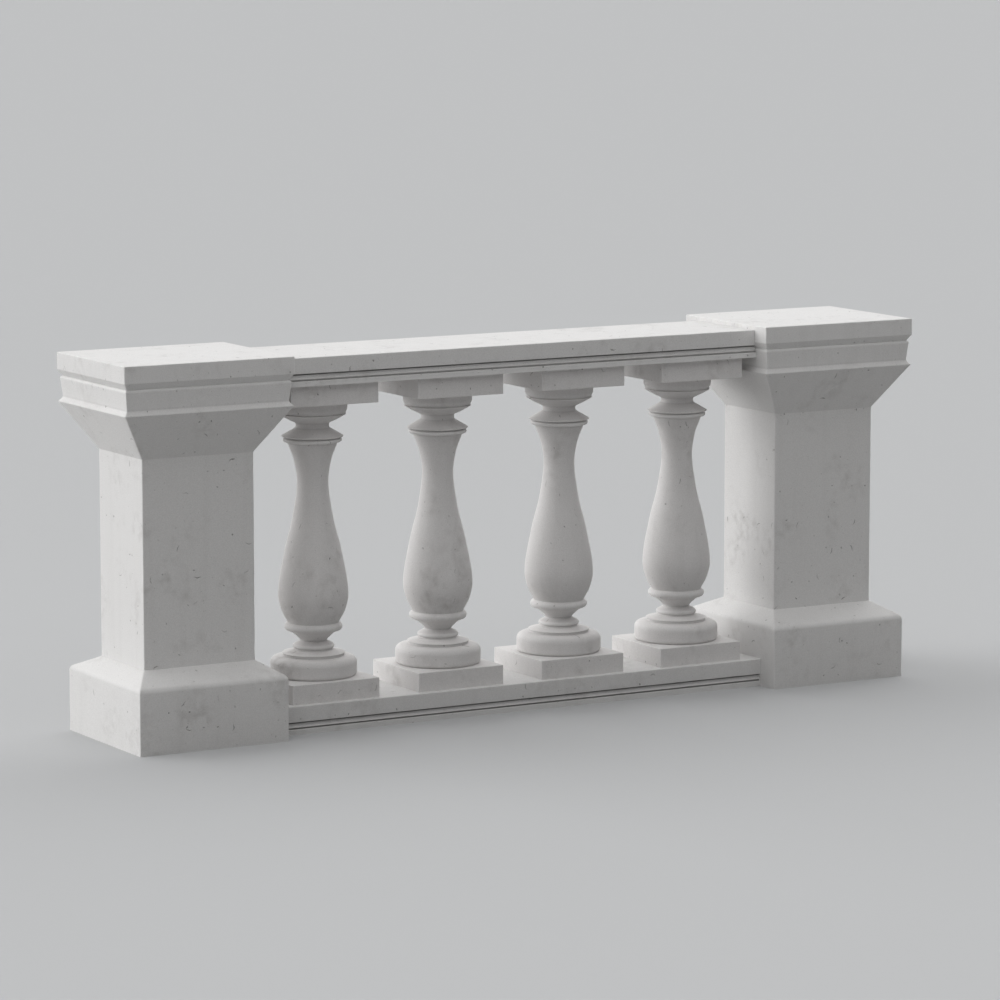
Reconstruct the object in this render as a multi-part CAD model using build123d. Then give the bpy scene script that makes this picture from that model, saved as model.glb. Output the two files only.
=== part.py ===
from build123d import *
import os

os.makedirs("parts", exist_ok=True)

# Stone balustrade, one bay: two piers, four balusters, a bottom rail and a top rail.
# All sizes are in millimetres. X runs along the bay, Y across it and Z up.
# The origin is on the ground, at the middle of the bay.

# Whole bay
pier_spacing = 1923.0            # from the middle of one pier to the middle of the other
overall_height = 1000.0          # ground to the top of the caps

# Pier plinth: square block with a sloping top that sheds rain
plinth_length = 426.0
plinth_depth = 429.0
plinth_side_height = 170.0       # the upright faces, up to where the slope would meet them
plinth_slope_height = 36.0       # the sloping top above them
plinth_shoulder_radius = 18.0    # rounding where the slope meets the upright faces

# Pier die: the plain shaft of the pier
die_length = 319.0
die_depth = 258.0
die_height = 544.0
die_arris_radius = 3.0

# Pier cap: slab with a chamfer on its under edge
cap_length = 483.0
cap_depth = 409.0
cap_face_height = 45.0           # the upright faces, with the worn top edge
cap_top_arris = 2.0
cap_chamfer_height = 16.5
cap_chamfer_inset = 10.8

# Pier frieze: band under the cap, with a rounded lip above and a cove below
frieze_lip_height = 9.5
frieze_lip_inset = 5.7           # the lip stands back this far from the cap face
frieze_face_height = 43.7
frieze_face_top_inset = 6.3
frieze_face_foot_inset = 11.1
frieze_cove_height = 12.0
frieze_cove_hollow = 1.0
frieze_foot_height = 2.5         # the thin upright edge under the cove
frieze_foot_inset = 2.1

# Rails: one section for both
rail_depth = 294.6
rail_top_arris = 1.5
rail_fascia_height = 42.5
rail_deep_groove_height = 3.5    # the dark groove under the fascia
rail_deep_groove_inset = 14.0
rail_upper_band_height = 11.0    # the hollowed band
rail_upper_band_top_inset = 8.0
rail_upper_band_foot_inset = 2.2
rail_upper_band_hollow = 1.8
rail_thin_groove_height = 4.5
rail_thin_groove_inset = 8.0
rail_lower_band_height = 14.0
rail_lower_band_inset = 0.8
top_rail_drop = 12.0             # the top rail lies this far below the top of the caps

# Balusters: four along the bay, each with a square block below and above
baluster_count = 4
baluster_spacing = 376.2
block_width = 258.0
plinth_block_height = 51.5
abacus_height = 56.0
block_arris_radius = 2.0

# Baluster shaft: radii and heights of the turned mouldings, from the foot upwards
drum_foot_radius = 106.0
drum_foot_height = 13.0          # rounding at the foot of the drum
drum_radius = 115.0
drum_side_height = 17.0
drum_shoulder_radius = 86.5      # where the big rounding on top of the drum ends
drum_shoulder_height = 27.0
disc_groove_radius = 79.5        # fine groove under the disc
disc_groove_height = 1.6
disc_radius = 83.5
disc_edge_height = 1.6
disc_slope_height = 8.0
bead_fillet_radius = 51.5        # small upright step between the disc and the bead
bead_fillet_height = 3.6
bead_foot_radius = 49.0
bead_radius = 55.2
bead_shoulder_radius = 49.6      # the flatter upper side passes through this radius
bead_top_radius = 38.5
bead_height = 18.5
waist_radius = 36.4              # narrowest place of the whole shaft
waist_height = 5.0
collar_foot_radius = 56.5
collar_cone_height = 19.7        # waist to the foot of the collar
collar_cone_hollow = 0.8
collar_radius = 77.2
collar_height = 27.1
crease_radius = 67.5             # where the collar meets the belly
belly_low_radius = 84.9          # the belly swells through this radius
belly_low_rise = 32.0
belly_radius = 93.3
belly_rise = 72.0                # crease to the widest place of the belly
neck_upper_radius = 75.0         # the long taper passes through these two radii
neck_upper_rise = 120.0
neck_lower_radius = 52.8
neck_lower_rise = 212.0
neck_radius = 41.8
neck_rise = 303.0                # widest place of the belly to the narrowest of the neck
bell_mid_radius = 48.6           # the neck flares through this radius
bell_mid_rise = 51.0
bell_top_radius = 65.0
bell_rise = 96.0                 # narrowest of the neck to the foot of the rings
lower_ring_radius = 77.3
lower_ring_height = 13.0
ring_gap_radius = 73.5
ring_gap_height = 1.5
upper_ring_radius = 81.2
upper_ring_under_height = 4.0
upper_ring_edge_height = 2.0
ring_cone_radius = 46.0          # the cone above the rings ends at this radius
ring_cone_height = 20.5
throat_radius = 41.5
throat_height = 11.0
capital_flare_height = 26.0
capital_flare_hollow = 2.2
capital_lip_radius = 89.4
capital_lip_height = 1.6
capital_notch_radius = 86.0      # fine step above the lip
capital_notch_height = 1.6
capital_round_height = 15.5
capital_radius = 92.8            # round block under the abacus

# Heights that follow from the sizes above
plinth_top = plinth_side_height + plinth_slope_height
die_top = plinth_top + die_height
cap_bottom = overall_height - cap_face_height - cap_chamfer_height
frieze_foot_top = (
    cap_bottom - frieze_lip_height - frieze_face_height - frieze_cove_height
)
frieze_bottom = frieze_foot_top - frieze_foot_height
rail_height = (
    rail_fascia_height + rail_deep_groove_height + rail_upper_band_height
    + rail_thin_groove_height + rail_lower_band_height
)
top_rail_bottom = overall_height - top_rail_drop - rail_height
shaft_bottom = rail_height + plinth_block_height
shaft_top = top_rail_bottom - abacus_height


def whole_face(right_half):
    """The flat shape made by an outline on the right and its mirror image on the left."""
    return make_face(right_half + mirror(right_half, Plane.YZ))


def prism_along(plane, face, length):
    """A bar with this end face, standing out equally to both sides of the plane."""
    return extrude(plane * face, length / 2, both=True)


def moulded_stone(outline, length, depth):
    """A stone with one moulding on all four sides, mitred at its corners."""
    along = prism_along(Plane.YZ, whole_face(outline(depth / 2)), length)
    across = prism_along(Plane.XZ, whole_face(outline(length / 2)), depth)
    return along & across


def tapered_stone(low_size, low_height, high_size, high_height):
    """A stone with four flat sides between two level rectangles."""
    low = Plane.XY.offset(low_height) * Rectangle(*low_size)
    high = Plane.XY.offset(high_height) * Rectangle(*high_size)
    return loft(Sketch() + [low, high])


def edges_at_height(stone, height):
    """The edges that lie at one height."""
    return stone.edges().filter_by_position(Axis.Z, height - 0.01, height + 0.01)


def make_pier_plinth():
    """Base block: upright faces, then a slope in to the die on all four sides."""
    block = Pos(Z=plinth_side_height / 2) * Box(
        plinth_length, plinth_depth, plinth_side_height
    )
    slope = tapered_stone(
        (plinth_length, plinth_depth), plinth_side_height,
        (die_length, die_depth), plinth_top,
    )
    plinth = block + slope
    shoulder = edges_at_height(plinth, plinth_side_height)
    return fillet(shoulder, plinth_shoulder_radius)


def make_pier_die():
    """Plain shaft of the pier with softened upright edges."""
    die = Pos(Z=plinth_top + die_height / 2) * Box(die_length, die_depth, die_height)
    return fillet(die.edges().filter_by(Axis.Z), die_arris_radius)


def make_pier_corbel():
    """Splay that widens from the die to the foot of the frieze."""
    top_size = (cap_length - 2 * frieze_foot_inset, cap_depth - 2 * frieze_foot_inset)
    return tapered_stone((die_length, die_depth), die_top, top_size, frieze_bottom)


def frieze_outline(half_width):
    """Right-hand side of the frieze, from its top to its foot."""
    lip_top = (half_width - cap_chamfer_inset, cap_bottom)
    lip_front = (half_width - frieze_lip_inset, cap_bottom - frieze_lip_height * 0.7)
    face_top = (half_width - frieze_face_top_inset, cap_bottom - frieze_lip_height)
    face_foot = (half_width - frieze_face_foot_inset, frieze_foot_top + frieze_cove_height)
    foot_top = (half_width - frieze_foot_inset, frieze_foot_top)
    foot = (half_width - frieze_foot_inset, frieze_bottom)
    outline = Line((0, cap_bottom), lip_top)
    outline += ThreePointArc(lip_top, lip_front, face_top)
    outline += Line(face_top, face_foot)
    outline += SagittaArc(face_foot, foot_top, -frieze_cove_hollow)
    outline += Polyline(foot_top, foot, (0, frieze_bottom))
    return outline


def cap_outline(half_width):
    """Right-hand side of the cap, from its top to its foot."""
    return Polyline(
        (0, overall_height),
        (half_width - cap_top_arris, overall_height),
        (half_width, overall_height - cap_top_arris),
        (half_width, overall_height - cap_face_height),
        (half_width - cap_chamfer_inset, cap_bottom),
        (0, cap_bottom),
    )


def rail_outline():
    """Right-hand side of the rail section, from its top to its foot at height 0."""
    face = rail_depth / 2
    fascia_foot = rail_height - rail_fascia_height
    upper_band_top = fascia_foot - rail_deep_groove_height
    upper_band_foot = upper_band_top - rail_upper_band_height
    lower_band_top = upper_band_foot - rail_thin_groove_height
    hollow_top = (face - rail_upper_band_top_inset, upper_band_top)
    hollow_foot = (face - rail_upper_band_foot_inset, upper_band_foot)
    outline = Polyline(
        (0, rail_height),
        (face - rail_top_arris, rail_height),
        (face, rail_height - rail_top_arris),
        (face, fascia_foot),
        (face - rail_deep_groove_inset, fascia_foot),
        (face - rail_deep_groove_inset, upper_band_top),
        hollow_top,
    )
    outline += SagittaArc(hollow_top, hollow_foot, -rail_upper_band_hollow)
    outline += Polyline(
        hollow_foot,
        (face - rail_thin_groove_inset, upper_band_foot),
        (face - rail_thin_groove_inset, lower_band_top),
        (face - rail_lower_band_inset, lower_band_top),
        (face - rail_lower_band_inset, 0),
        (0, 0),
    )
    return outline


def make_bottom_rail():
    """Stone on the ground between the two plinths."""
    return prism_along(Plane.YZ, whole_face(rail_outline()), pier_spacing - plinth_length)


def make_top_rail(pier_heads):
    """Stone over the balusters, with its ends scribed to the mouldings of the pier heads."""
    rough_length = pier_spacing - cap_length + 4 * frieze_face_foot_inset
    rail = prism_along(Plane.YZ, whole_face(rail_outline()), rough_length)
    rail = Pos(Z=top_rail_bottom) * rail
    for head in pier_heads:
        rail = rail - head
    return rail


def make_block(height, thickness, free_height):
    """Square block of a baluster; the edges round its free face are softened too."""
    block = Pos(Z=height + thickness / 2) * Box(block_width, block_width, thickness)
    soft_edges = block.edges().filter_by(Axis.Z) + edges_at_height(block, free_height)
    return fillet(soft_edges, block_arris_radius)


def make_baluster_shaft():
    """Turned stone between the two square blocks of a baluster."""
    foot = (drum_foot_radius, shaft_bottom)
    drum_low = (drum_radius, shaft_bottom + drum_foot_height)
    drum_high = (drum_radius, drum_low[1] + drum_side_height)
    shoulder = (drum_shoulder_radius, drum_high[1] + drum_shoulder_height)
    groove_foot = (disc_groove_radius, shoulder[1])
    groove_top = (disc_groove_radius, groove_foot[1] + disc_groove_height)
    disc_under = (disc_radius, groove_top[1])
    disc_edge = (disc_radius, groove_top[1] + disc_edge_height)
    disc_end = (bead_fillet_radius, disc_edge[1] + disc_slope_height)
    fillet_top = (bead_fillet_radius, disc_end[1] + bead_fillet_height)
    bead_foot = (bead_foot_radius, fillet_top[1])
    bead_front = (bead_radius, bead_foot[1] + bead_height * 0.32)
    bead_shoulder = (bead_shoulder_radius, bead_foot[1] + bead_height * 0.74)
    bead_top = (bead_top_radius, bead_foot[1] + bead_height)
    waist = (waist_radius, bead_top[1] + waist_height / 2)
    waist_top = (bead_top_radius, bead_top[1] + waist_height)
    collar_foot = (collar_foot_radius, waist_top[1] + collar_cone_height)
    collar_front = (collar_radius, collar_foot[1] + collar_height * 0.52)
    crease = (crease_radius, collar_foot[1] + collar_height)
    belly_low = (belly_low_radius, crease[1] + belly_low_rise)
    belly = (belly_radius, crease[1] + belly_rise)
    neck_upper = (neck_upper_radius, belly[1] + neck_upper_rise)
    neck_lower = (neck_lower_radius, belly[1] + neck_lower_rise)
    neck = (neck_radius, belly[1] + neck_rise)
    bell_mid = (bell_mid_radius, neck[1] + bell_mid_rise)
    bell_top = (bell_top_radius, neck[1] + bell_rise)
    lower_ring = (lower_ring_radius, bell_top[1] + lower_ring_height * 0.65)
    gap_foot = (ring_gap_radius, bell_top[1] + lower_ring_height)
    gap_top = (ring_gap_radius, gap_foot[1] + ring_gap_height)
    ring_low = (upper_ring_radius, gap_top[1] + upper_ring_under_height)
    ring_high = (upper_ring_radius, ring_low[1] + upper_ring_edge_height)
    throat_foot = (ring_cone_radius, ring_high[1] + ring_cone_height)
    throat = (throat_radius, throat_foot[1] + throat_height / 2)
    throat_top = (ring_cone_radius, throat_foot[1] + throat_height)
    lip_low = (capital_lip_radius, throat_top[1] + capital_flare_height)
    lip_high = (capital_lip_radius, lip_low[1] + capital_lip_height)
    notch = (capital_notch_radius, lip_high[1] + capital_notch_height)
    capital_side = (capital_radius, notch[1] + capital_round_height)
    capital_top = (capital_radius, shaft_top)

    outline = Line((0, shaft_bottom), foot)
    outline += TangentArc(drum_low, foot, tangent=(0, -1))
    outline += Line(drum_low, drum_high)
    outline += TangentArc(drum_high, shoulder, tangent=(0, 1))
    outline += Polyline(
        shoulder, groove_foot, groove_top, disc_under, disc_edge, disc_end, fillet_top,
        bead_foot,
    )
    outline += TangentArc(bead_front, bead_foot, tangent=(0, -1))
    outline += ThreePointArc(bead_front, bead_shoulder, bead_top)
    outline += ThreePointArc(bead_top, waist, waist_top)
    outline += SagittaArc(waist_top, collar_foot, collar_cone_hollow)
    outline += ThreePointArc(collar_foot, collar_front, crease)
    outline += Spline(crease, belly_low, belly)
    outline += Spline(belly, neck_upper, neck_lower, neck)
    outline += Spline(neck, bell_mid, bell_top)
    outline += ThreePointArc(bell_top, lower_ring, gap_foot)
    outline += Polyline(gap_foot, gap_top, ring_low, ring_high, throat_foot)
    outline += ThreePointArc(throat_foot, throat, throat_top)
    outline += SagittaArc(throat_top, lip_low, capital_flare_hollow)
    outline += Polyline(lip_low, lip_high, notch)
    outline += TangentArc(capital_side, notch, tangent=(0, -1))
    outline += Polyline(capital_side, capital_top, (0, shaft_top), (0, shaft_bottom))
    return revolve(Plane.XZ * make_face(outline), Axis.Z)


# The piers: one set of stones, placed at both ends of the bay
pier_stones = {
    "plinth": make_pier_plinth(),
    "die": make_pier_die(),
    "corbel": make_pier_corbel(),
    "frieze": moulded_stone(frieze_outline, cap_length, cap_depth),
    "cap": moulded_stone(cap_outline, cap_length, cap_depth),
}
pier_places = {
    "left": Pos(X=-pier_spacing / 2),
    "right": Pos(X=pier_spacing / 2),
}
pieces = {}
for side, place in pier_places.items():
    for stone_name, stone in pier_stones.items():
        pieces[f"pier_{side}_{stone_name}"] = place * stone

# The rails
pier_heads = [
    pieces[f"pier_{side}_{stone_name}"]
    for side in pier_places
    for stone_name in ("cap", "frieze")
]
pieces["bottom_rail"] = make_bottom_rail()
pieces["top_rail"] = make_top_rail(pier_heads)

# The balusters, evenly spaced about the middle of the bay
plinth_block = make_block(rail_height, plinth_block_height, shaft_bottom)
abacus = make_block(shaft_top, abacus_height, shaft_top)
shaft = make_baluster_shaft()
for number in range(1, baluster_count + 1):
    place = Pos(X=(number - (baluster_count + 1) / 2) * baluster_spacing)
    pieces[f"baluster_{number}_plinth"] = place * plinth_block
    pieces[f"baluster_{number}_shaft"] = place * shaft
    pieces[f"baluster_{number}_abacus"] = place * abacus

for name, piece in pieces.items():
    export_step(piece, f"parts/{name}.step")
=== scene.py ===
# %% [markdown]
# # A bay of stone balustrade
#
# This lesson dresses one bay of a stone balustrade: two square piers, a bottom rail on the
# ground, four turned balusters and a top rail. The sizes come from a frame of plain solids.
# Every solid is replaced by a finished stone, shaped the way a mason or a turner works it,
# and then given a procedural limestone finish.

import math
import random

import bmesh
import bpy
from mathutils import Matrix, Vector, noise


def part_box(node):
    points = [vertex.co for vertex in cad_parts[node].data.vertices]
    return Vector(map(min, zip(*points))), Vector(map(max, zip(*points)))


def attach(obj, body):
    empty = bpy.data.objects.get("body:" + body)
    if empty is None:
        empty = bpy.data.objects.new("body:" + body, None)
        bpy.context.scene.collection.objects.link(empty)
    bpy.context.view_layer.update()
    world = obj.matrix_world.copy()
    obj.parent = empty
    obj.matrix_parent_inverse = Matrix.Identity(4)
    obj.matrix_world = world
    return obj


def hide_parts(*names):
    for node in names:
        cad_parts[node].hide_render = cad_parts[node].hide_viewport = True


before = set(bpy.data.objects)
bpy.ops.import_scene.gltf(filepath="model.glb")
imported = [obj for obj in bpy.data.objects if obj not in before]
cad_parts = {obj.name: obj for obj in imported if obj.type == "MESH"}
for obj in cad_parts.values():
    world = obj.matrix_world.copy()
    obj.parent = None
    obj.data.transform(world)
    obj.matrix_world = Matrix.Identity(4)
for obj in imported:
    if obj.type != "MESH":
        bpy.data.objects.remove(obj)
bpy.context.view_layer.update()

# %% [markdown]
# ## Measures
#
# A mason's sizes are in millimetres and Blender works in metres, so one factor turns the
# first into the second. Where a stone stands, and how large it is, is always read from its
# solid in the frame. Only the mouldings are written down here.

# %% Measures
MM = 0.001


def stone_place(node):
    """Middle and size of a stone, from its solid in the frame."""
    low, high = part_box(node)
    return (low + high) / 2, high - low


for node in ("pier_left_cap", "top_rail", "baluster_1_shaft"):
    middle, size = stone_place(node)
    print(node, "is", [round(side / MM, 1) for side in size], "mm")

# %% [markdown]
# ## Drawing a moulding
#
# A moulding is known by its section, so the section is drawn first. It is a list of points:
# how far across, how high, and how softly the corner there is worn. Real stone has no razor
# edges, so `soften` swaps each corner for a small curve. A bevel on the finished mesh could
# do that too, but on fillets this thin it runs into its neighbours, and in the section it
# never does.

# %% Softened corners


def soften(section):
    """Rounds the corners of a section given as (across, height, radius)."""
    drawn = []
    for index, (across, height, radius) in enumerate(section):
        corner = Vector((across, height))
        if radius == 0 or index in (0, len(section) - 1):
            drawn.append(corner)
            continue
        back = Vector(section[index - 1][:2]) - corner
        ahead = Vector(section[index + 1][:2]) - corner
        reach = radius / math.tan(back.angle(ahead) / 2)
        reach = min(reach, 0.45 * back.length, 0.45 * ahead.length)
        start = corner + back.normalized() * reach
        end = corner + ahead.normalized() * reach
        steps = 4 + round(radius / 4)
        for step in range(steps + 1):
            share = step / steps
            bend = corner * 2 * share * (1 - share)
            drawn.append(start * (1 - share) ** 2 + bend + end * share ** 2)
    return drawn


print("a soft corner becomes", len(soften([(0, 0, 0), (10, 0, 2), (10, 10, 0)])) - 2, "points")

# %% [markdown]
# Two more kinds of curve are needed. Beads, coves and hollows are parts of circles, so they
# are drawn through three points. The belly and the neck of a baluster aren't: they swell and
# thin in one flowing line, so that line runs through a few radii and levels out where the
# stone is widest and where it is thinnest.

# %% Curves in a section


def arc(start, middle, end, steps=6):
    """Points between the two ends of a round curve through three points."""
    ax, ay, bx, by, cx, cy = *start, *middle, *end
    turn = 2 * (ax * (by - cy) + bx * (cy - ay) + cx * (ay - by))
    a2, b2, c2 = ax * ax + ay * ay, bx * bx + by * by, cx * cx + cy * cy
    centre = Vector((
        (a2 * (by - cy) + b2 * (cy - ay) + c2 * (ay - by)) / turn,
        (a2 * (cx - bx) + b2 * (ax - cx) + c2 * (bx - ax)) / turn,
    ))
    spoke = Vector(start) - centre
    begin = math.atan2(spoke.y, spoke.x)
    swings = []
    for point in (middle, end):
        away = Vector(point) - centre
        swings.append((math.atan2(away.y, away.x) - begin) % (2 * math.pi))
    swing = swings[1] if swings[0] < swings[1] else swings[1] - 2 * math.pi
    points = []
    for step in range(1, steps):
        angle = begin + swing * step / steps
        reach = spoke.length
        points.append((centre.x + reach * math.cos(angle), centre.y + reach * math.sin(angle), 0))
    return points


def flowing_line(points, spacing=9):
    """Points of a smooth line that rises through points given as (across, height)."""
    pairs = list(zip(points, points[1:]))
    slopes = [(b[0] - a[0]) / (b[1] - a[1]) for a, b in pairs]
    leans = [slopes[0]]
    for below, above in zip(slopes, slopes[1:]):
        leans.append(0 if below * above <= 0 else 2 * below * above / (below + above))
    leans.append(slopes[-1])
    line = []
    for (a, b), lean_a, lean_b in zip(pairs, leans, leans[1:]):
        rise = b[1] - a[1]
        steps = max(2, round(rise / spacing))
        for step in range(1, steps + 1):
            t = step / steps
            across = (
                a[0] * (1 + 2 * t) * (1 - t) ** 2 + b[0] * t * t * (3 - 2 * t)
                + rise * (lean_a * t * (1 - t) ** 2 - lean_b * t * t * (1 - t))
            )
            line.append((across, a[1] + rise * t, 0))
    return line[:-1]


print("a quarter circle gets", len(arc((10, 0), (7.07, 7.07), (0, 10))), "points between")

# %% [markdown]
# Wear is made later by moving points, so a stone needs points all over, about a centimetre
# apart. Long straight runs of a section get theirs here, before anything is built from it.

# %% Points along straight runs
SPACING = 11


def fill_in(section):
    """Adds points along the straight runs of a drawn section."""
    filled = [section[0]]
    for before, point in zip(section, section[1:]):
        parts = max(1, round((point - before).length / SPACING))
        for part in range(1, parts + 1):
            filled.append(before.lerp(point, part / parts))
    return filled


def inset_at(section, height):
    """How far in a drawn section is at a height."""
    for low, high in zip(section, section[1:]):
        if low.y <= height <= high.y:
            share = (height - low.y) / max(high.y - low.y, 1e-6)
            return low.x + (high.x - low.x) * share
    return section[-1].x


print("544 mm of plain die gets", len(fill_in([Vector((0, 0)), Vector((0, 544))])), "points")

# %% [markdown]
# ## Wear
#
# Weather takes most from a stone where it sticks out. At a point on an arris the faces fall
# away to both sides, and on a flat face they don't, so the bend of the surface at each point
# tells how much it loses. A slow noise varies the loss along the arris, and a quick one bites
# small chips. The stone only ever loses, so it stays inside the block that it was cut from.
# Its beds, where it sits on other stones, aren't touched. The bend is also stored on the mesh, as
# "arris", because the finish needs it: arrises get a painted highlight that makes them paler, and
# creases get painted shade. At a closed bed the next stone meets the edge, so nothing is stored
# there. An open bed is wider than the stone on it, so its own edges are arrises.

# %% Wear
ARRIS_LOSS = 0.6 * MM
FACE_LOSS = 0.3 * MM
ARRIS_BEND = 0.35  # an edge that bends by this many radians is a full arris
CREASE_BEND = 0.6  # and one that bends inwards by this many is a full crease
SLOW_WAVES = 18  # in a metre
CHIP_WAVES = 70
CHIP_LEVEL = 0.36  # where the quick noise is higher than this, it bites
BED_REACH = 0.3 * MM


def wear(stone, beds, open_beds, seed):
    """Moves the points of a stone inwards, most along its arrises."""
    stone.normal_update()
    drift = Vector((seed * 7.3, seed * 3.1, seed * 5.7))
    mark = stone.verts.layers.float.new("arris")
    moves = []
    for point in stone.verts:
        bends = [edge.calc_face_angle_signed(0.0) for edge in point.link_edges]
        outward = min(1.0, max(0.0, *bends) / ARRIS_BEND)
        inward = min(1.0, max(0.0, *[-bend for bend in bends]) / CREASE_BEND)
        slow = 0.5 + 0.5 * noise.noise(point.co * SLOW_WAVES + drift)
        chip = max(0.0, noise.noise(point.co * CHIP_WAVES + drift) - CHIP_LEVEL) * 5
        # Above zero this asks for a painted highlight on an arris, below zero for painted shade in
        # a crease
        point[mark] = outward * (0.55 + 0.45 * slow) if outward > inward else -inward
        if any(abs(point.co.z - bed) < BED_REACH for bed in beds):
            point[mark] = 0.0
            continue
        if any(abs(point.co.z - bed) < BED_REACH for bed in open_beds):
            continue
        loss = FACE_LOSS * slow + ARRIS_LOSS * outward * (0.7 * slow + min(chip, 1.0))
        moves.append((point, point.normal * loss))
    for point, move in moves:
        point.co -= move


print("an arris loses at most", round((FACE_LOSS + 1.7 * ARRIS_LOSS) / MM, 1), "mm")

# %% [markdown]
# ## The surface map
#
# Marks in stone have real sizes: a shell cast is a few millimetres long wherever it lies. So
# each face is unrolled flat at its real size, in metres, along the axis that it faces most,
# and a turned stone is unrolled round its axis. Every stone gets its own corner of the
# pattern, so no two stones show the same marks.

# %% Surface map
MEAN_RADIUS = 85 * MM  # of a turned stone


def own_corner(seed):
    """Where in the pattern a stone lies, up to 20 m from its middle."""
    shuffle = random.Random(seed)
    return Vector((shuffle.uniform(-20, 20), shuffle.uniform(-20, 20)))


def map_flat(stone, seed):
    """Unrolls each face along the axis that it faces most, at real size."""
    chart = stone.loops.layers.uv.new("surface")
    corner = own_corner(seed)
    for face in stone.faces:
        axis = max(range(3), key=lambda number: abs(face.normal[number]))
        side = (axis + 1) * math.copysign(3.1, face.normal[axis])
        for loop in face.loops:
            x, y, z = loop.vert.co
            flat = Vector(((y, z), (x, z), (x, y))[axis])
            loop[chart].uv = flat + corner + Vector((side, 0))


def map_round(stone, seed, axis_x):
    """Unrolls a turned stone round its upright axis, as if it had one radius."""
    chart = stone.loops.layers.uv.new("surface")
    corner = own_corner(seed)
    for face in stone.faces:
        middle = face.calc_center_median()
        facing = math.atan2(middle.y, middle.x - axis_x)
        for loop in face.loops:
            x, y, z = loop.vert.co
            angle = facing + math.remainder(math.atan2(y, x - axis_x) - facing, 2 * math.pi)
            loop[chart].uv = corner + Vector((angle * MEAN_RADIUS, z))


print("a turned stone unrolls to a strip", round(2 * math.pi * MEAN_RADIUS / MM), "mm wide")

# %% [markdown]
# ## The limestone
#
# The stone is a pale, fine-grained limestone. Broken shell lies in it here and there, and
# where the cut face opens a shell it shows as a small dark curved cast or a pit. Clouds of
# slightly greyer stone drift through it. The faces were rubbed smooth with grit and water,
# which leaves them matt. A photograph of stone could be wrapped round the stones, but it
# would blur close by and show seams, so the finish is drawn with nodes instead.
#
# Colours are picked as sRGB hex values, and shaders want linear light, so one function turns the
# first into the second. Another adds a node with its settings and its links.

# %% Colour and node helpers


def colour(hex_value):
    """An sRGB hex colour as linear light."""
    shades = [int(hex_value[place:place + 2], 16) / 255 for place in (1, 3, 5)]
    linear = [s / 12.92 if s <= 0.04045 else ((s + 0.055) / 1.055) ** 2.4 for s in shades]
    return (*linear, 1.0)


def add(tree, kind, settings=(), inputs=()):
    """Adds a node with its settings, and fills its inputs with values or other outputs."""
    node = tree.nodes.new(kind)
    for name, value in dict(settings).items():
        setattr(node, name, value)
    for name, value in dict(inputs).items():
        if isinstance(value, bpy.types.NodeSocket):
            tree.links.new(value, node.inputs[name])
        else:
            node.inputs[name].default_value = value
    return node


def new_material(name):
    """An empty node material."""
    material = bpy.data.materials.new(name)
    material.use_nodes = True
    material.node_tree.nodes.clear()
    return material, material.node_tree


print("rubbed limestone in linear light:", [round(v, 3) for v in colour("#DEDDDC")[:3]])

# %% [markdown]
# ### Marks with a real size
#
# A Voronoi texture deals the surface into cells and gives each cell a random centre and a
# random colour. The centre becomes the middle of one mark, and the colour decides whether
# the mark is there, how it is turned and how dark it is. Measuring from the centre in
# millimetres gives the mark its real length, width and bend.

# %% Marks
# Cell, length, width and bend of each kind, in mm
CASTS = (74, 17, 2.4, 2.4)
PITS = (43, 5.5, 3.6, 0.4)
SPECKS = (17, 2.8, 1.8, 0.2)
FADE = 0.6  # how softly a mark ends, as a share of its size


def marks(tree, chart, crowding, cell, length, width, bend):
    """A mask of short curved marks. Crowding is the share of cells that hold one."""
    cells = add(
        tree, "ShaderNodeTexVoronoi", {"voronoi_dimensions": "2D"},
        {"Vector": chart, "Scale": 1 / (cell * MM), "Randomness": 0.85},
    )
    luck = add(tree, "ShaderNodeSeparateColor", (), {"Color": cells.outputs["Color"]})
    away = add(
        tree, "ShaderNodeVectorMath", {"operation": "SUBTRACT"},
        {0: chart, 1: cells.outputs["Position"]},
    )
    turn = add(
        tree, "ShaderNodeMath", {"operation": "MULTIPLY"}, {0: luck.outputs[0], 1: 2 * math.pi}
    )
    turned = add(
        tree, "ShaderNodeVectorRotate", {"rotation_type": "Z_AXIS"},
        {"Vector": away.outputs[0], "Angle": turn.outputs[0]},
    )
    sized = add(
        tree, "ShaderNodeVectorMath", {"operation": "MULTIPLY"},
        {0: turned.outputs[0], 1: (2 / (length * MM), 2 / (width * MM), 0.0)},
    )
    parts = add(tree, "ShaderNodeSeparateXYZ", (), {0: sized.outputs[0]})
    along = add(
        tree, "ShaderNodeMath", {"operation": "MULTIPLY"},
        {0: parts.outputs[0], 1: parts.outputs[0]},
    )
    across = add(
        tree, "ShaderNodeMath", {"operation": "MULTIPLY_ADD"},
        {0: along.outputs[0], 1: 2 * bend / width, 2: parts.outputs[1]},
    )
    across_squared = add(
        tree, "ShaderNodeMath", {"operation": "MULTIPLY"},
        {0: across.outputs[0], 1: across.outputs[0]},
    )
    reach = add(
        tree, "ShaderNodeMath", {"operation": "ADD"},
        {0: along.outputs[0], 1: across_squared.outputs[0]},
    )
    shape = add(
        tree, "ShaderNodeMapRange", {"interpolation_type": "SMOOTHSTEP"},
        {"Value": reach.outputs[0], "From Min": 1 + FADE, "From Max": 1 - FADE},
    )
    present = add(
        tree, "ShaderNodeMath", {"operation": "LESS_THAN"}, {0: luck.outputs[1], 1: crowding}
    )
    depth = add(
        tree, "ShaderNodeMapRange", (), {"Value": luck.outputs[2], "To Min": 0.25, "To Max": 0.95}
    )
    shown = add(
        tree, "ShaderNodeMath", {"operation": "MULTIPLY"},
        {0: shape.outputs[0], 1: present.outputs[0]},
    )
    mark = add(
        tree, "ShaderNodeMath", {"operation": "MULTIPLY"},
        {0: shown.outputs[0], 1: depth.outputs[0]},
    )
    return mark.outputs[0]


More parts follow.
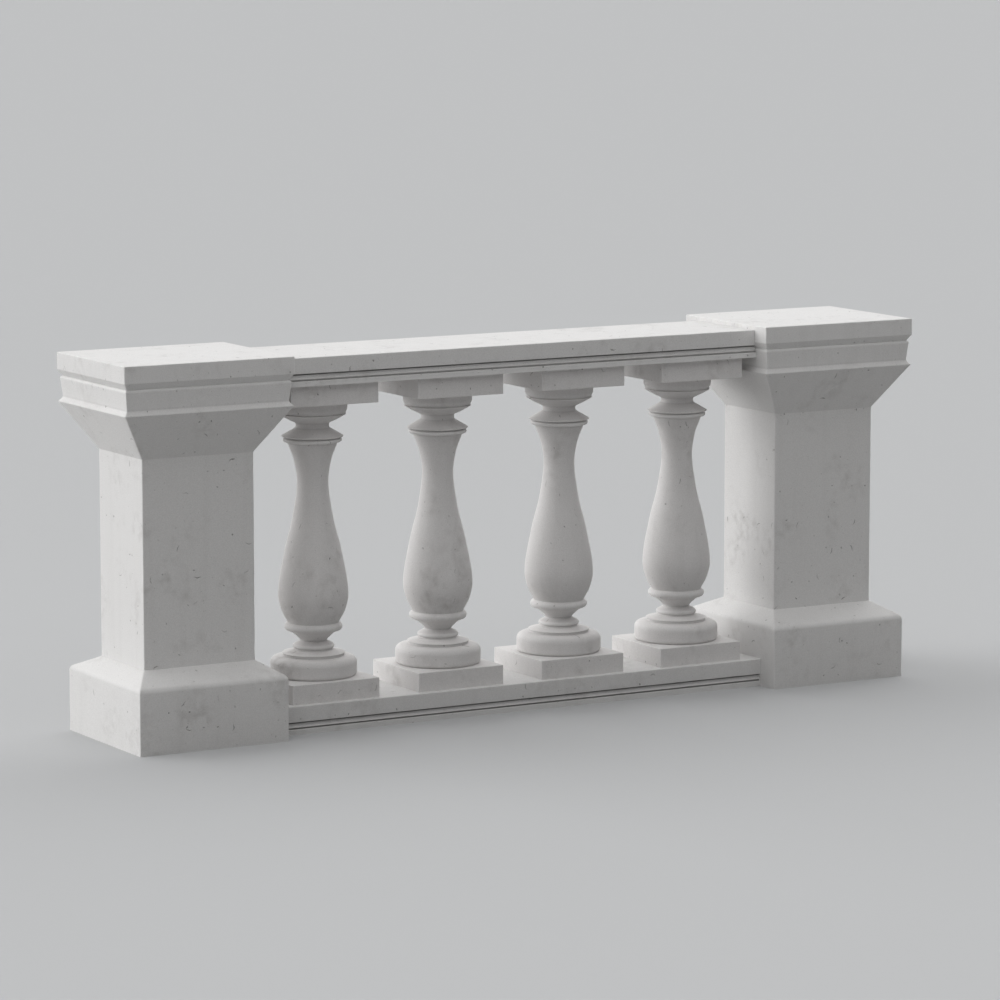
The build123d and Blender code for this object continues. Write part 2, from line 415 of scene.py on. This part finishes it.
print("casts, pits and specks are", [kind[1] for kind in (CASTS, PITS, SPECKS)], "mm long")

# %% [markdown]
# ### Clouds, streaks and grain
#
# The base is an off-white with hardly any hue. Clouds a hand wide darken it by a few steps,
# a finer mottling the size of a fingertip breaks the clouds up, and where rain has run there
# are faint upright streaks, drawn by stretching a noise along the height. The rubbed grain
# lies over them. The noises are handed on, because shell and relief follow them.

# %% Clouds, streaks and grain
GRAIN = 2.4 * MM


def cloudy_stone(tree, body, cloud, grime_and_shade, streak):
    """The colour of the stone, and its noises: clouds, mottling and grain."""
    where = add(tree, "ShaderNodeTexCoord").outputs["Object"]
    # Clouds about 120 mm across, broken up by a mottling of about 25 mm
    clouds = add(
        tree, "ShaderNodeTexNoise", (), {"Vector": where, "Scale": 1 / (120 * MM), "Detail": 4.0}
    )
    cloudy = add(
        tree, "ShaderNodeMapRange", {"interpolation_type": "SMOOTHSTEP"},
        {"Value": clouds.outputs["Fac"], "From Min": 0.5, "From Max": 0.72},
    )
    mottle = add(
        tree, "ShaderNodeTexNoise", (), {"Vector": where, "Scale": 1 / (25 * MM), "Detail": 5.0}
    )
    mottled = add(
        tree, "ShaderNodeMapRange", (),
        {"Value": mottle.outputs["Fac"], "From Min": 0.42, "From Max": 0.72, "To Max": 0.8},
    )
    cloud_share = add(
        tree, "ShaderNodeMath", {"operation": "MULTIPLY"},
        {0: cloudy.outputs[0], 1: mottled.outputs[0]},
    )
    clouded = add(
        tree, "ShaderNodeMix", {"data_type": "RGBA"},
        {0: cloud_share.outputs[0], 6: colour(body), 7: colour(cloud)},
    )

    # Rain streaks: a noise stretched sixteen times along the height
    stretch = 1 / (streak * MM)
    run = add(
        tree, "ShaderNodeMapping", (), {"Vector": where, "Scale": (stretch, stretch, stretch / 16)}
    )
    rain = add(
        tree, "ShaderNodeTexNoise", (), {"Vector": run.outputs[0], "Scale": 1.0, "Detail": 3.0}
    )
    streaks = add(
        tree, "ShaderNodeMapRange", {"interpolation_type": "SMOOTHSTEP"},
        {"Value": rain.outputs["Fac"], "From Min": 0.5, "From Max": 0.75, "To Max": 0.12},
    )
    streaked = add(
        tree, "ShaderNodeMix", {"data_type": "RGBA"},
        {0: streaks.outputs[0], 6: clouded.outputs[2], 7: colour(cloud)},
    )

    # Grain is about 1 mm in the real stone, and is drawn wider so that it shows
    grain = add(
        tree, "ShaderNodeTexNoise", (), {"Vector": where, "Scale": 1 / GRAIN, "Detail": 2.0}
    )
    grain_share = add(
        tree, "ShaderNodeMapRange", (),
        {"Value": grain.outputs["Fac"], "From Min": 0.3, "From Max": 0.7, "To Max": 0.14},
    )
    grained = add(
        tree, "ShaderNodeMix", {"data_type": "RGBA"},
        {0: grain_share.outputs[0], 6: streaked.outputs[2], 7: colour(grime_and_shade)},
    )
    noises = [texture.outputs["Fac"] for texture in (clouds, mottle, grain)]
    return grained.outputs[2], *noises


print("grain is drawn", GRAIN / MM, "mm wide")

# %% [markdown]
# ### Shell casts, pits and specks
#
# Broken shell lies thickest in the cloudy beds of the stone, so the clouds decide how many
# cells hold a mark. Its outlines are ragged, and a mark as drawn is smooth, so a fine noise
# nudges the chart on which it's drawn.

# %% Shell casts, pits and specks
NUDGE = 5 * MM


def shell_hollows(tree, clouds):
    """A mask of the hollows that broken shell leaves."""
    chart = add(tree, "ShaderNodeUVMap", {"uv_map": "surface"}).outputs[0]
    ragged = add(
        tree, "ShaderNodeTexNoise", {"noise_dimensions": "2D"},
        {"Vector": chart, "Scale": 1 / (7 * MM), "Detail": 2.0},
    )
    nudge = add(
        tree, "ShaderNodeVectorMath", {"operation": "MULTIPLY_ADD"},
        {0: ragged.outputs["Color"], 1: (NUDGE, NUDGE, 0.0), 2: chart},
    ).outputs[0]
    crowding = add(
        tree, "ShaderNodeMapRange", (),
        {"Value": clouds, "From Min": 0.4, "From Max": 0.65, "To Min": 0.10, "To Max": 0.32},
    ).outputs[0]
    casts = marks(tree, nudge, crowding, *CASTS)
    pits = marks(tree, nudge, crowding, *PITS)
    specks = marks(tree, nudge, crowding, *SPECKS)
    larger = add(tree, "ShaderNodeMath", {"operation": "MAXIMUM"}, {0: casts, 1: pits})
    smaller = add(tree, "ShaderNodeMath", {"operation": "MULTIPLY"}, {0: specks, 1: 0.5})
    return add(
        tree, "ShaderNodeMath", {"operation": "MAXIMUM"},
        {0: larger.outputs[0], 1: smaller.outputs[0]},
    ).outputs[0]


print("the chart is nudged by up to", NUDGE / 2 / MM, "mm to each side")

# %% [markdown]
# ### Hollows, arrises and creases
#
# Casts, pits and specks are dark because light doesn't reach into them. The "arris" that was
# stored with the wear paints a highlight on arrises, so they are paler, and paints shade into
# creases, so they are darker. The sheltered grooves of the rails get the darkest painted shade, so
# each finish says how dark its creases are.

# %% Hollows, arrises and creases
# The colour of the painted highlight that makes the arrises paler where light catches them
ARRIS_HIGHLIGHT = "#EAE9E8"


def hollows_highlight_and_shade(tree, stone, hollows, grime_and_shade, crease_shade_share):
    """The colour of the stone with its hollows, a painted highlight on its arrises and painted
    shade in its creases.
    """
    hollow_share = add(tree, "ShaderNodeMath", {"operation": "MULTIPLY"}, {0: hollows, 1: 0.75})
    pitted = add(
        tree, "ShaderNodeMix", {"data_type": "RGBA"},
        {0: hollow_share.outputs[0], 6: stone, 7: colour(grime_and_shade)},
    )
    bend = add(tree, "ShaderNodeAttribute", {"attribute_name": "arris"}).outputs["Fac"]
    # Painted highlight: the more an arris bends outwards, the paler it is painted
    highlight_share = add(
        tree, "ShaderNodeMapRange", {"interpolation_type": "SMOOTHERSTEP"},
        {"Value": bend, "From Min": 0.25, "From Max": 1.0, "To Max": 0.35},
    )
    highlighted = add(
        tree, "ShaderNodeMix", {"data_type": "RGBA"},
        {0: highlight_share.outputs[0], 6: pitted.outputs[2], 7: colour(ARRIS_HIGHLIGHT)},
    )
    # Painted shade: creases that bend inwards are painted darker, towards the dark colour
    crease_shade = add(
        tree, "ShaderNodeMapRange", {"interpolation_type": "SMOOTHERSTEP"},
        {"Value": bend, "From Min": -0.3, "From Max": -1.0, "To Max": crease_shade_share},
    )
    finished = add(
        tree, "ShaderNodeMix", {"data_type": "RGBA"},
        {0: crease_shade.outputs[0], 6: highlighted.outputs[2], 7: colour(grime_and_shade)},
    )
    return finished.outputs[2]


print("a rubbed arris in linear light:", round(colour(ARRIS_HIGHLIGHT)[0], 3))

# %% [markdown]
# ### Relief
#
# Hollows, mottling and grain can be felt, so they go into the bump as well. Each bump node
# adds to the one before it, and its depth is in real millimetres.

# %% Relief
HOLLOW_DEPTH, MOTTLE_DEPTH, GRAIN_DEPTH = 1.2 * MM, 0.5 * MM, 0.1 * MM


def relief(tree, hollows, mottle, grain):
    """The normal of the surface with its hollows, mottling and grain."""
    bump = add(
        tree, "ShaderNodeBump", {"invert": True},
        {"Height": hollows, "Distance": HOLLOW_DEPTH, "Strength": 1.0},
    )
    bump = add(
        tree, "ShaderNodeBump", (),
        {"Height": mottle, "Distance": MOTTLE_DEPTH, "Normal": bump.outputs[0]},
    )
    bump = add(
        tree, "ShaderNodeBump", (),
        {"Height": grain, "Distance": GRAIN_DEPTH, "Normal": bump.outputs[0]},
    )
    return bump.outputs[0]


print("shell casts are at most", round(HOLLOW_DEPTH / MM, 1), "mm deep")

# %% [markdown]
# ### Rubbed and turned limestone
#
# These parts together make a finish. Rubbed stone is matt, and its roughness wanders a little with
# the mottling. Piers, rails and balusters differ in colour, in the width of their rain streaks and
# in how dark the painted shade in their creases is.

# %% The finish


def limestone(name, body, cloud, grime_and_shade, streak, crease_shade_share):
    """A pale limestone with shell casts, pits, clouds and streaks of a width in mm."""
    material, tree = new_material(name)
    stone, clouds, mottle, grain = cloudy_stone(tree, body, cloud, grime_and_shade, streak)
    hollows = shell_hollows(tree, clouds)
    matt = add(
        tree, "ShaderNodeMapRange", (),
        {"Value": mottle, "From Min": 0.3, "From Max": 0.7, "To Min": 0.68, "To Max": 0.82},
    )
    shader = add(
        tree, "ShaderNodeBsdfPrincipled", (),
        {"Base Color": hollows_highlight_and_shade(tree, stone, hollows, grime_and_shade, crease_shade_share),
         "Roughness": matt.outputs[0], "IOR": 1.5,
         "Normal": relief(tree, hollows, mottle, grain)},
    )
    add(tree, "ShaderNodeOutputMaterial", (), {"Surface": shader.outputs[0]})
    print(name, "has", len(tree.nodes), "nodes")
    return material


# Each finish: body colour, cloud colour, a dark colour for grain, shaded hollows and painted
# crease shade, streak width in mm, and how dark the painted crease shade is
finishes = {
    "pier_stone": limestone("rubbed_limestone_piers", "#DEDDDC", "#C4C2C0", "#615E5C", 40, 0.1),
    "rail_stone": limestone("rubbed_limestone_rails", "#DDDCDB", "#C4C2C0", "#625F5D", 60, 0.6),
    "baluster_stone": limestone("turned_limestone", "#DEDCDB", "#C1BEBC", "#615D5B", 24, 0.1),
}

# %% [markdown]
# ## Setting a stone
#
# A finished mesh becomes an object at the origin, with its place in its points, and takes
# over from the solid of the same name. Weighted normals keep wide faces flat to the eye,
# while the narrow worn arrises beside them still shade round.

# %% Setting a stone
SHARP_BEND = math.radians(38)
counts = {}


def set_stone(stone, node, slot, seed, beds=("foot", "top"), open_beds=(), axis_x=None):
    """Wears, maps and finishes a mesh, which then replaces the solid of that name."""
    low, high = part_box(node)
    level = {"foot": low.z, "top": high.z}
    bmesh.ops.remove_doubles(stone, verts=stone.verts, dist=0.02 * MM)
    bmesh.ops.recalc_face_normals(stone, faces=stone.faces)
    wear(stone, [level[bed] for bed in beds], [level[bed] for bed in open_beds], seed)
    if axis_x is None:
        map_flat(stone, seed)
    else:
        map_round(stone, seed, axis_x)
    for face in stone.faces:
        face.smooth = True
    for edge in stone.edges:
        edge.smooth = edge.calc_face_angle(0.0) < SHARP_BEND
    open_edges = sum(1 for edge in stone.edges if len(edge.link_faces) != 2)
    counts[node] = (sum(len(face.verts) - 2 for face in stone.faces), open_edges)
    mesh = bpy.data.meshes.new("worn_" + node)
    stone.to_mesh(mesh)
    stone.free()
    mesh.materials.append(finishes[slot])
    piece = bpy.data.objects.new("worn_" + node, mesh)
    bpy.context.scene.collection.objects.link(piece)
    shading = piece.modifiers.new("flat faces stay flat", "WEIGHTED_NORMAL")
    shading.weight = 80
    shading.keep_sharp = True
    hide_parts(node)
    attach(piece, "root")


print("edges that bend by more than", round(math.degrees(SHARP_BEND)), "degrees stay sharp")

# %% [markdown]
# ## Square stones
#
# A stone of a pier has the same moulding on all four sides, mitred at its corners. The
# simplest way to it is a level sheet of squares that is extruded upwards again and again,
# and drawn in or let out each time to follow the section. The mitres then come by
# themselves. Where two sides have different slopes, as on the plinth, each follows its own
# section.

# %% Raising a stone
MITRE_BEND = 0.5  # an upright edge that bends by more radians than this is a mitre


def raise_stone(node, section, depth_section=None, corner_radius=2.5):
    """Extrudes a sheet up through a section of (inset from the widest, height, radius), in mm."""
    middle, size = stone_place(node)
    foot = middle.z - size.z / 2
    levels = fill_in(soften(section))
    front = soften(depth_section) if depth_section else None
    plan = []
    for level in levels:
        front_inset = inset_at(front, level.y) if front else level.x
        length = size.x - 2 * level.x * MM
        plan.append((length, size.y - 2 * front_inset * MM, foot + level.y * MM))
    stone = bmesh.new()
    bmesh.ops.create_grid(
        stone, x_segments=round(size.x / MM / SPACING), y_segments=round(size.y / MM / SPACING),
        size=0.5,
    )
    bmesh.ops.scale(stone, verts=stone.verts, vec=(plan[0][0], plan[0][1], 1))
    bmesh.ops.translate(stone, verts=stone.verts, vec=(middle.x, middle.y, plan[0][2]))
    centre = Matrix.Translation((-middle.x, -middle.y, 0))
    course = list(stone.faces) + list(stone.edges)
    for (length, depth, height), (new_length, new_depth, new_height) in zip(plan, plan[1:]):
        raised = bmesh.ops.extrude_face_region(stone, geom=course)["geom"]
        points = [item for item in raised if isinstance(item, bmesh.types.BMVert)]
        course = [item for item in raised if not isinstance(item, bmesh.types.BMVert)]
        bmesh.ops.translate(stone, verts=points, vec=(0, 0, new_height - height))
        bmesh.ops.scale(
            stone, verts=points, vec=(new_length / length, new_depth / depth, 1), space=centre
        )
    bmesh.ops.recalc_face_normals(stone, faces=stone.faces)
    mitres = []
    for edge in stone.edges:
        run = edge.verts[1].co - edge.verts[0].co
        level = abs(run.z) < 0.01 * MM and min(abs(run.x), abs(run.y)) < 0.01 * MM
        if not level and edge.calc_face_angle(0.0) > MITRE_BEND:
            mitres.append(edge)
    bmesh.ops.bevel(
        stone, geom=mitres, offset=corner_radius * MM, offset_type="OFFSET", segments=3,
        profile=0.5, affect="EDGES", material=-1, clamp_overlap=False,
    )
    return stone


print("sheets of squares about", SPACING, "mm wide")

# %% [markdown]
# ## The piers
#
# From the ground up, a pier is a plinth with a sloping top that sheds rain, a plain die, a
# splay that carries the head out, a frieze with a cove under a small round lip, and the cap
# slab. Its beds stay sharp and unworn, so that the stones meet tightly.

# %% Piers
plinth_side = [(0, 0, 0), (0, 170, 18), (53.5, 206, 0)]
plinth_front = [(0, 0, 0), (0, 170, 18), (85.5, 206, 0)]
die_section = [(0, 0, 0), (0, 544, 0)]
corbel_side = [(80.2, 0, 0), (0, 120.8, 0)]
corbel_front = [(73.7, 0, 0), (0, 120.8, 0)]
frieze_section = [
    (0, 0, 0), (0, 2.5, 1), *arc((0, 2.5), (5.3, 7.9), (9, 14.5), 5), (9, 14.5, 0),
    (4.2, 58.2, 0), *arc((4.2, 58.2), (3.6, 61), (8.7, 67.7), 6), (8.7, 67.7, 0),
]
cap_section = [
    (10.8, 0, 0), (0, 16.5, 1.2), (0, 61.5, 2.4), (8, 61.5, 0), (40, 61.5, 0),
]
for seed, side in ((11, "left"), (31, "right")):
    place = "pier_" + side + "_"
    plinth = raise_stone(place + "plinth", plinth_side, plinth_front)
    set_stone(plinth, place + "plinth", "pier_stone", seed)
    die = raise_stone(place + "die", die_section, corner_radius=3)
    set_stone(die, place + "die", "pier_stone", seed + 1)
    corbel = raise_stone(place + "corbel", corbel_side, corbel_front)
    set_stone(corbel, place + "corbel", "pier_stone", seed + 2)
    frieze = raise_stone(place + "frieze", frieze_section, corner_radius=2)
    set_stone(frieze, place + "frieze", "pier_stone", seed + 3)
    cap = raise_stone(place + "cap", cap_section, corner_radius=2.4)
    set_stone(cap, place + "cap", "pier_stone", seed + 4, beds=("foot",))
    print(side, "pier:", {name: counts[place + name] for name in ("plinth", "die", "cap")})

# %% [markdown]
# ## The rails
#
# Both rails have one section: a plain fascia, a deep dark groove, a hollowed band, a thin
# groove and a plain band. Only half of it is drawn. It is extruded along the bay, mirrored
# and closed at the ends. The ends of the top rail follow the mouldings of the pier heads,
# so its mesh is cut level at the heights where those mouldings turn, and the points of each
# end move to the line of the moulding. Loop cuts along the rail come last.

# %% Rails
rail_section = [
    (0, 75.5, 0), (147.3, 75.5, 2.4), (147.3, 33, 1.2), (133.3, 33, 0), (133.3, 29.5, 0),
    (139.3, 29.5, 0.8), *arc((139.3, 29.5), (140.6, 23.2), (145.1, 18.5), 5),
    (145.1, 18.5, 0.8), (139.3, 18.5, 0), (139.3, 14, 0), (146.5, 14, 1), (146.5, 0, 0),
    (0, 0, 0),
]


def draw_rail(node, end_heights=(), end_inset=None):
    """Half a section, drawn out along the bay, mirrored, closed and cut to length."""
    middle, size = stone_place(node)
    foot = middle.z - size.z / 2
    rail = bmesh.new()
    points = []
    for place in fill_in(soften(rail_section)):
        spot = (-size.x / 2, place.x * MM, foot + place.y * MM)
        points.append(rail.verts.new(spot))
    for before, point in zip(points, points[1:]):
        rail.edges.new((before, point))
    drawn = bmesh.ops.extrude_edge_only(rail, edges=list(rail.edges))["geom"]
    far = [item for item in drawn if isinstance(item, bmesh.types.BMVert)]
    bmesh.ops.translate(rail, verts=far, vec=(size.x, 0, 0))
    half = list(rail.verts) + list(rail.edges) + list(rail.faces)
    bmesh.ops.mirror(rail, geom=half, axis="Y", merge_dist=0.01 * MM)
    bmesh.ops.remove_doubles(rail, verts=rail.verts, dist=0.01 * MM)
    bmesh.ops.holes_fill(rail, edges=[edge for edge in rail.edges if edge.is_boundary])
    for height in end_heights:
        whole = list(rail.verts) + list(rail.edges) + list(rail.faces)
        bmesh.ops.bisect_plane(
            rail, geom=whole, dist=0.05 * MM, plane_co=(0, 0, height), plane_no=(0, 0, 1)
        )
    if end_inset:
        for point in rail.verts:
            cut_back = end_inset(point.co.z)
            point.co.x -= math.copysign(cut_back, point.co.x)
    along = [edge for edge in rail.edges if edge.calc_length() > 0.5 * size.x]
    bmesh.ops.subdivide_edges(rail, edges=along, cuts=round(size.x / MM / SPACING))
    return rail


cap_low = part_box("pier_right_cap")[0]
frieze_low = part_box("pier_right_frieze")[0]
rail_low, rail_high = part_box("top_rail")
frieze_line = [Vector(point[:2]) for point in frieze_section]
cap_line = [Vector(point[:2]) for point in cap_section]


def moulding_back(height):
    """How far the end of the top rail is cut back for the moulding at a height."""
    low, line = (cap_low, cap_line) if height > cap_low.z else (frieze_low, frieze_line)
    return rail_high.x - low.x - inset_at(line, (height - low.z) / MM) * MM


turns = [cap_low.z + cap_line[1].y * MM]
turns += [frieze_low.z + point.y * MM for point in frieze_line]
turns = [height for height in turns if height > rail_low.z]
bottom_rail = draw_rail("bottom_rail")
set_stone(bottom_rail, "bottom_rail", "rail_stone", 51, beds=("foot",), open_beds=("top",))
top_rail = draw_rail("top_rail", turns, moulding_back)
set_stone(top_rail, "top_rail", "rail_stone", 52, beds=(), open_beds=("foot",))
print("rails:", counts["bottom_rail"], counts["top_rail"])

# %% [markdown]
# ## The balusters
#
# A baluster is turned on a lathe between two square blocks. The spin operator does the same
# as a lathe: half of the section goes once round the axis. From the foot up the section has
# a round drum, a thin disc, a bead, a narrow waist, a collar, the belly that thins out into
# the neck, two rings, a throat and the flared capital.

# %% Turned shafts
shaft_section = [
    (0, 0, 0), (108.5, 0, 0), *arc((108.5, 0), (113.5, 4.2), (115, 11), 5), (115, 11, 0),
    (115, 31.5, 0), *arc((115, 31.5), (110.9, 44.9), (98, 51.2), 10), (98, 51.2, 0),
    (81, 52.8, 0), (81, 59, 0), (83.5, 59.7, 0.6), (83.5, 61.3, 0.7), (51.5, 68.6, 0),
    (51.5, 71.8, 0.6), (49.5, 71.8, 0), *arc((49.5, 71.8), (55.6, 77.9), (50.6, 84.6), 8),
    (50.6, 84.6, 0), (38, 91.7, 0), *arc((38, 91.7), (35.9, 94.2), (38, 96.7), 4),
    (38, 96.7, 0), *arc((38, 96.7), (49.9, 108.7), (63.5, 119.5), 4), (63.5, 119.5, 0),
    *arc((63.5, 119.5), (77.4, 129.5), (67.5, 141.1), 12), (67.5, 141.1, 3),
    *flowing_line([
        (67.5, 141.1), (84.9, 174.1), (93.3, 214.1), (75, 334.1), (52.8, 426.1),
        (41.8, 517.1), (48.8, 568.1), (66.5, 619.2),
    ]),
    (66.5, 619.2, 0), (72, 620.3, 0), *arc((72, 620.3), (78.2, 626), (74.8, 631.4), 8),
    (74.8, 631.4, 0), (72, 632.4, 0), (72, 633.8, 0), (81.4, 634.4, 0.7), (81.4, 637.4, 0.9),
    (46, 657.8, 0),
    *arc((46, 657.8), (44.2, 664.7), (46, 671.7), 5), (46, 671.7, 0),
    *arc((46, 671.7), (65.5, 680.6), (89.4, 694.2), 6), (89.4, 694.2, 0.6),
    (89.4, 695.8, 0.6), (86, 697.4, 0), *arc((86, 697.4), (91, 704.4), (92.8, 712.9), 4),
    (92.8, 712.9, 0), (92.8, 729.5, 0), (0, 729.5, 0),
]


def turn_shaft(node):
    """Spins the section once round the upright axis of the shaft."""
    middle, size = stone_place(node)
    foot = middle.z - size.z / 2
    shaft = bmesh.new()
    points = []
    for place in fill_in(soften(shaft_section)):
        spot = (middle.x + place.x * MM, middle.y, foot + place.y * MM)
        points.append(shaft.verts.new(spot))
    for before, point in zip(points, points[1:]):
        shaft.edges.new((before, point))
    bmesh.ops.spin(
        shaft, geom=list(shaft.verts) + list(shaft.edges), cent=middle, axis=(0, 0, 1),
        dvec=(0, 0, 0), angle=2 * math.pi, steps=96, use_merge=True, use_duplicate=False,
    )
    return shaft


block_section = [(0, 0, 0), (0, 51.5, 2), (9, 51.5, 0), (30, 51.5, 0)]
abacus_section = [(30, 0, 0), (9, 0, 0), (0, 0, 2), (0, 56, 0)]
for number in range(1, 5):
    place = "baluster_" + str(number) + "_"
    block = raise_stone(place + "plinth", block_section, corner_radius=2)
    set_stone(block, place + "plinth", "baluster_stone", 60 + number, ("foot",), ("top",))
    shaft = turn_shaft(place + "shaft")
    axis_x = stone_place(place + "shaft")[0].x
    set_stone(shaft, place + "shaft", "baluster_stone", 70 + number, axis_x=axis_x)
    abacus = raise_stone(place + "abacus", abacus_section, corner_radius=2)
    set_stone(abacus, place + "abacus", "baluster_stone", 80 + number, ("top",), ("foot",))
print("baluster 1:", [counts["baluster_1_" + name] for name in ("plinth", "shaft", "abacus")])
print("all stones:", sum(count[0] for count in counts.values()), "triangles")

# %% [markdown]
# ## Floor, light and camera
#
# The stones stand on a plain pale floor that reaches past the view. The camera and mirrored
# rays see it pale. Light that bounces off it meets a mid grey, so that the shaded faces
# aren't lit too strongly from below. The lamps are suns with wide discs, which
# give the soft even light of large studio panels. The strongest stands low on the left and
# a little behind, so the left faces are bright and every round stone is shaded from left to
# right. A second comes from high behind on the right, a third from above the front, and two
# weak ones soften the left and draw a line of light down the right-hand rims.

# %% Floor


def camera_colour(tree, seen, unseen):
    """A colour for the camera and for mirrored rays, and another for light that bounces."""
    rays = add(tree, "ShaderNodeLightPath").outputs
    shown = rays["Is Camera Ray"]
    for ray in ("Is Glossy Ray", "Is Transmission Ray"):
        either = add(tree, "ShaderNodeMath", {"operation": "MAXIMUM"}, {0: shown, 1: rays[ray]})
        shown = either.outputs[0]
    return add(
        tree, "ShaderNodeMix", {"data_type": "RGBA"},
        {0: shown, 6: colour(unseen), 7: colour(seen)},
    ).outputs[2]


floor_mesh = bmesh.new()
bmesh.ops.create_grid(floor_mesh, x_segments=8, y_segments=8, size=150)
floor_data = bpy.data.meshes.new("floor")
floor_mesh.to_mesh(floor_data)
floor_mesh.free()
floor = bpy.data.objects.new("floor", floor_data)
bpy.context.scene.collection.objects.link(floor)
floor_finish, floor_tree = new_material("plain_floor")
floor_colour = camera_colour(floor_tree, "#BFC0C1", "#A2A2A2")
floor_shader = add(
    floor_tree, "ShaderNodeBsdfPrincipled", (),
    {"Base Color": floor_colour, "Roughness": 0.9, "Specular IOR Level": 0.0},
)
add(floor_tree, "ShaderNodeOutputMaterial", (), {"Surface": floor_shader.outputs[0]})
floor_data.materials.append(floor_finish)
print("floor reaches", round(floor.dimensions.x / 2), "m out")

# %% Light


def hang_sun(name, towards, strength, spread=80):
    """A sun lamp in a direction seen from the stones, with a soft edge in degrees."""
    lamp = bpy.data.lights.new(name, "SUN")
    lamp.energy = strength
    lamp.angle = math.radians(spread)
    holder = bpy.data.objects.new(name, lamp)
    holder.rotation_euler = Vector(towards).to_track_quat("Z", "Y").to_euler()
    bpy.context.scene.collection.objects.link(holder)


hang_sun("broad_key", (-0.82, 0.57, 0.09), 4.08)
hang_sun("left_fill", (-0.94, -0.34, 0.09), 0.46)
hang_sun("back_light", (0.41, 0.71, 0.57), 1.5)
hang_sun("top_fill", (0, -0.42, 0.91), 1.31)
hang_sun("rim", (0.93, 0.25, 0.26), 0.6, spread=30)
sky = bpy.data.worlds.new("studio")
bpy.context.scene.world = sky
sky.use_nodes = True
sky.node_tree.nodes.clear()
sky_light = camera_colour(sky.node_tree, "#C6C7C8", "#222222")
sky_shader = add(
    sky.node_tree, "ShaderNodeBackground", (), {"Color": sky_light, "Strength": 1.0}
)
add(sky.node_tree, "ShaderNodeOutputWorld", (), {"Surface": sky_shader.outputs[0]})
bpy.context.scene.view_settings.view_transform = "Standard"

# %% [markdown]
# The camera stands well back, a little above the cap and to the left of the bay, with a long
# lens, so the upright lines stay almost parallel.

# %% Camera
turn, lift = math.radians(-29.892), math.radians(8.050)
back = Vector((
    math.sin(turn) * math.cos(lift), -math.cos(turn) * math.cos(lift), math.sin(lift)
))
camera_data = bpy.data.cameras.new("camera")
camera_data.sensor_width = 36
camera_data.lens = 168.53
camera_data.clip_end = 500
camera = bpy.data.objects.new("camera", camera_data)
camera.location = (-6.2142, -10.8175, 2.3167)
camera.rotation_euler = (-back).to_track_quat("-Z", "Y").to_euler()
bpy.context.scene.collection.objects.link(camera)
bpy.context.scene.camera = camera
print("camera", [round(place, 2) for place in camera.location])
